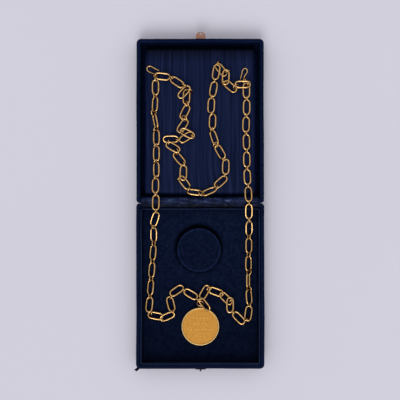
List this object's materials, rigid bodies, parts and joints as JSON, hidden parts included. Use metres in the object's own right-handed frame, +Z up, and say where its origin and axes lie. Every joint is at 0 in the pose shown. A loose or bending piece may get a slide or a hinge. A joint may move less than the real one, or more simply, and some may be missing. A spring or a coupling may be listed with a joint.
{
  "type": "commemorative medallion on a long link chain in an open presentation box",
  "caption": "Round medal with raised rim, lug and ring on a long oval-link neck chain with shoulder hooks, laid in a flat-open lined box with velvet bed, round rest, cloth hinge and catch.",
  "frame": {"origin": "on the table, under the middle of the open box with its catch", "axes": "+X to the right, +Y from the base of the box to its lid, +Z up"},
  "size_m": [0.127, 0.3398, 0.0253],
  "materials": {
    "covering": "dark blue grained covering paper, dull sheen",
    "velvet": "very dark blue short-pile velvet",
    "moire": "dark blue watered silk over padding",
    "hinge_cloth": "dark blue silk ribbon",
    "catch_brass": "tarnished brass",
    "gold": "polished yellow gold"
  },
  "bodies": {
    "root": {"base_tray": "covering", "base_collar": "covering", "lid_tray": "covering", "base_bed": "velvet", "velvet_disc": "velvet", "lid_lining": "moire", "hinge_strip": "hinge_cloth", "catch_tongue": "catch_brass", "catch_plate": "catch_brass", "medal": "gold", "medal_ring": "gold", "link_carrier": "gold", "link_shoulder_left": "gold", "link_shoulder_right": "gold", "chain_left": "gold", "chain_right": "gold", "chain_inner": "gold", "hook_left": "gold", "hook_right": "gold"}
  },
  "joints": []
}
